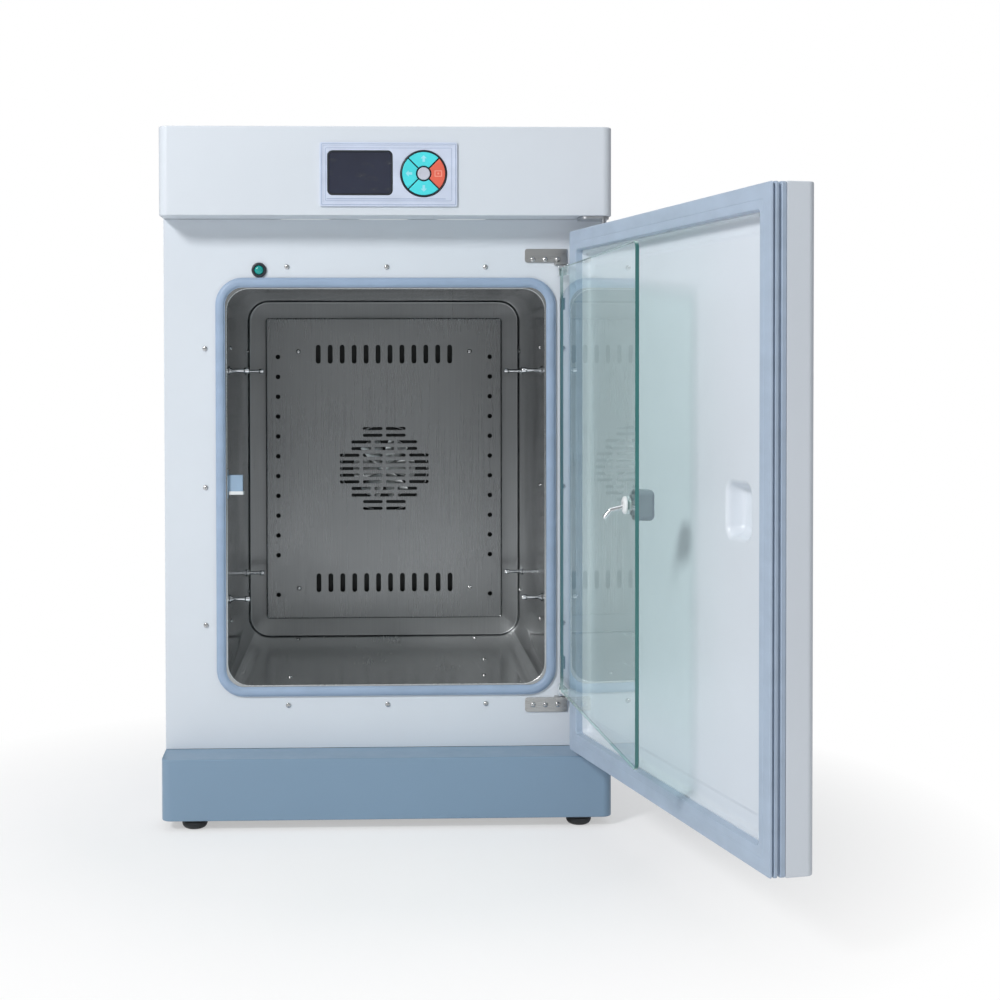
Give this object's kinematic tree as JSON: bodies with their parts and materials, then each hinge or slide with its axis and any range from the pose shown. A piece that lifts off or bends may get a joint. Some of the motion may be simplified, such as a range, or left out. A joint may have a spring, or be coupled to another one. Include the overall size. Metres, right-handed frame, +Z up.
{
  "type": "laboratory incubator",
  "caption": "Bench laboratory incubator: insulated cabinet with steel fan-heated chamber, inner glass door with latch, and insulated outer door, both standing open.",
  "frame": {"origin": "middle of the cabinet's width, in the plane of the front panel, at the underside of the base pan (the feet stand 12 mm lower)", "axes": "+X to the right as seen from the front, +Y from the front panel into the cabinet, +Z up"},
  "size_m": [0.6656, 1.0814, 0.855],
  "materials": {
    "cabinet_paint": "off-white powder coat, light orange peel",
    "base_paint": "grey-blue powder coat",
    "stainless": "polished stainless steel with fine vertical grain",
    "chrome": "bright chrome",
    "zinc_plate": "zinc plated sheet",
    "seal_rubber": "grey-blue silicone, satin",
    "foot_rubber": "black rubber",
    "foam": "mineral wool boards",
    "black_plastic": "black moulded plastic",
    "bezel_plastic": "pale lilac moulded plastic",
    "screen": "dark glossy screen",
    "key_cyan": "cyan silicone key",
    "key_red": "coral red silicone key",
    "key_silver": "silver grey key",
    "circuit_board": "green circuit board",
    "teal_plastic": "teal moulded plastic",
    "blue_plastic": "light blue moulded plastic",
    "grey_plastic": "mid grey moulded plastic",
    "white_plastic": "white nylon",
    "clear_glass": "clear toughened glass, green edges"
  },
  "bodies": {
    "cabinet": {"left_side_panel": "cabinet_paint", "right_side_panel": "cabinet_paint", "top_cover": "cabinet_paint", "front_panel": "cabinet_paint", "top_hood": "cabinet_paint", "rear_cover": "cabinet_paint", "base_plinth": "base_paint", "chamber_liner": "stainless", "back_duct_panel": "stainless", "upper_glass_bracket": "stainless", "lower_glass_bracket": "stainless", "heater_element": "stainless", "temperature_sensor": "stainless", "lower_front_left_stud": "chrome", "lower_front_right_stud": "chrome", "lower_rear_left_stud": "chrome", "lower_rear_right_stud": "chrome", "upper_front_left_stud": "chrome", "upper_front_right_stud": "chrome", "upper_rear_left_stud": "chrome", "upper_rear_right_stud": "chrome", "base_pan": "zinc_plate", "left_base_rail": "zinc_plate", "right_base_rail": "zinc_plate", "upper_door_bracket": "zinc_plate", "lower_door_bracket": "zinc_plate", "chamber_gasket": "seal_rubber", "front_left_foot": "foot_rubber", "front_right_foot": "foot_rubber", "rear_left_foot": "foot_rubber", "rear_right_foot": "foot_rubber", "insulation": "foam", "fan_motor": "black_plastic", "keypad_ring": "black_plastic", "door_switch_bezel": "black_plastic", "power_inlet": "black_plastic", "control_bezel": "bezel_plastic", "display_module": "screen", "control_board": "circuit_board", "latch_strike": "blue_plastic"},
    "outer_door": {"door_outer_pan": "cabinet_paint", "door_inner_panel": "cabinet_paint", "door_seal_frame": "seal_rubber", "door_insulation": "foam", "door_handle": "grey_plastic"},
    "glass_door": {"glass_pane": "clear_glass", "upper_glass_shoe": "chrome", "lower_glass_shoe": "chrome", "latch_collar": "white_plastic"},
    "latch": {"latch_knob": "grey_plastic", "latch_rod": "chrome"},
    "fan": {"fan_impeller": "stainless"},
    "up_key": {"key_up": "key_cyan"},
    "left_key": {"key_left": "key_cyan"},
    "down_key": {"key_down": "key_cyan"},
    "right_key": {"key_right": "key_red"},
    "centre_key": {"key_centre": "key_silver"},
    "door_switch": {"door_switch_plunger": "teal_plastic"},
    "rocker": {"power_rocker": "black_plastic"}
  },
  "joints": [
    {"name": "outer_door_hinge", "type": "hinge", "parent": "cabinet", "child": "outer_door", "pos_m": [0.2645, -0.043, 0.4], "axis": [0, 0, 1], "range_deg": [-102.6, 2]},
    {"name": "glass_door_hinge", "type": "hinge", "parent": "cabinet", "child": "glass_door", "pos_m": [0.217, -0.008, 0.41], "axis": [0, 0, 1], "range_deg": [-93.6, 2]},
    {"name": "latch_turn", "type": "hinge", "parent": "glass_door", "child": "latch", "pos_m": [0.24143, -0.39623, 0.41], "axis": [-0.998, -0.0628, 0], "range_deg": [0, 90]},
    {"name": "fan_spin", "type": "hinge", "parent": "cabinet", "child": "fan", "pos_m": [0, 0.395, 0.4045], "axis": [0, 1, 0], "continuous": true},
    {"name": "up_key_press", "type": "slide", "parent": "cabinet", "child": "up_key", "axis": [0, 1, 0], "range_m": [0, 0.0008], "stiffness_N_per_m": 600},
    {"name": "left_key_press", "type": "slide", "parent": "cabinet", "child": "left_key", "axis": [0, 1, 0], "range_m": [0, 0.0008], "stiffness_N_per_m": 600},
    {"name": "down_key_press", "type": "slide", "parent": "cabinet", "child": "down_key", "axis": [0, 1, 0], "range_m": [0, 0.0008], "stiffness_N_per_m": 600},
    {"name": "right_key_press", "type": "slide", "parent": "cabinet", "child": "right_key", "axis": [0, 1, 0], "range_m": [0, 0.0008], "stiffness_N_per_m": 600},
    {"name": "centre_key_press", "type": "slide", "parent": "cabinet", "child": "centre_key", "axis": [0, 1, 0], "range_m": [0, 0.0008], "stiffness_N_per_m": 600},
    {"name": "door_switch_press", "type": "slide", "parent": "cabinet", "child": "door_switch", "axis": [0, 1, 0], "range_m": [0, 0.003], "stiffness_N_per_m": 300},
    {"name": "power_rocker_tip", "type": "hinge", "parent": "cabinet", "child": "rocker", "pos_m": [-0.16, 0.5003, 0.055], "axis": [1, 0, 0], "range_deg": [-12, 0]}
  ],
  "couplings": [
    {"joint": "glass_door_hinge", "follows": "outer_door_hinge", "ratio": 0.91228}
  ]
}
